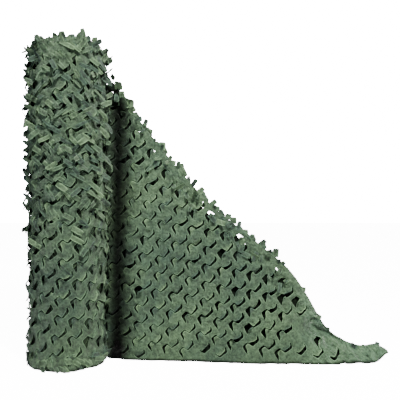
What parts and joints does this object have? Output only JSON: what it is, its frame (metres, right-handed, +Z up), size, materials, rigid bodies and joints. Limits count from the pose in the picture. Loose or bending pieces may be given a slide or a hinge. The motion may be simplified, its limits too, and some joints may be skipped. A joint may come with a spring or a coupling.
{
  "type": "camouflage netting roll",
  "caption": "Upright roll of leaf-cut camouflage netting, with its loose end pulled out to one side, folded over along the top and tapering to a tail on the ground.",
  "frame": {"origin": "middle of the roll's foot, on the surface that the roll stands on", "axes": "+X along the loose end, away from the roll; +Y away from the front; +Z up, along the roll's axis"},
  "size_m": [1.7297, 0.398, 1.526],
  "materials": {
    "netting": "matt woven polyester, dull olive green all through, cut all over into curling leaves"
  },
  "bodies": {
    "root": {"roll": "netting", "loose_end": "netting"}
  },
  "joints": []
}
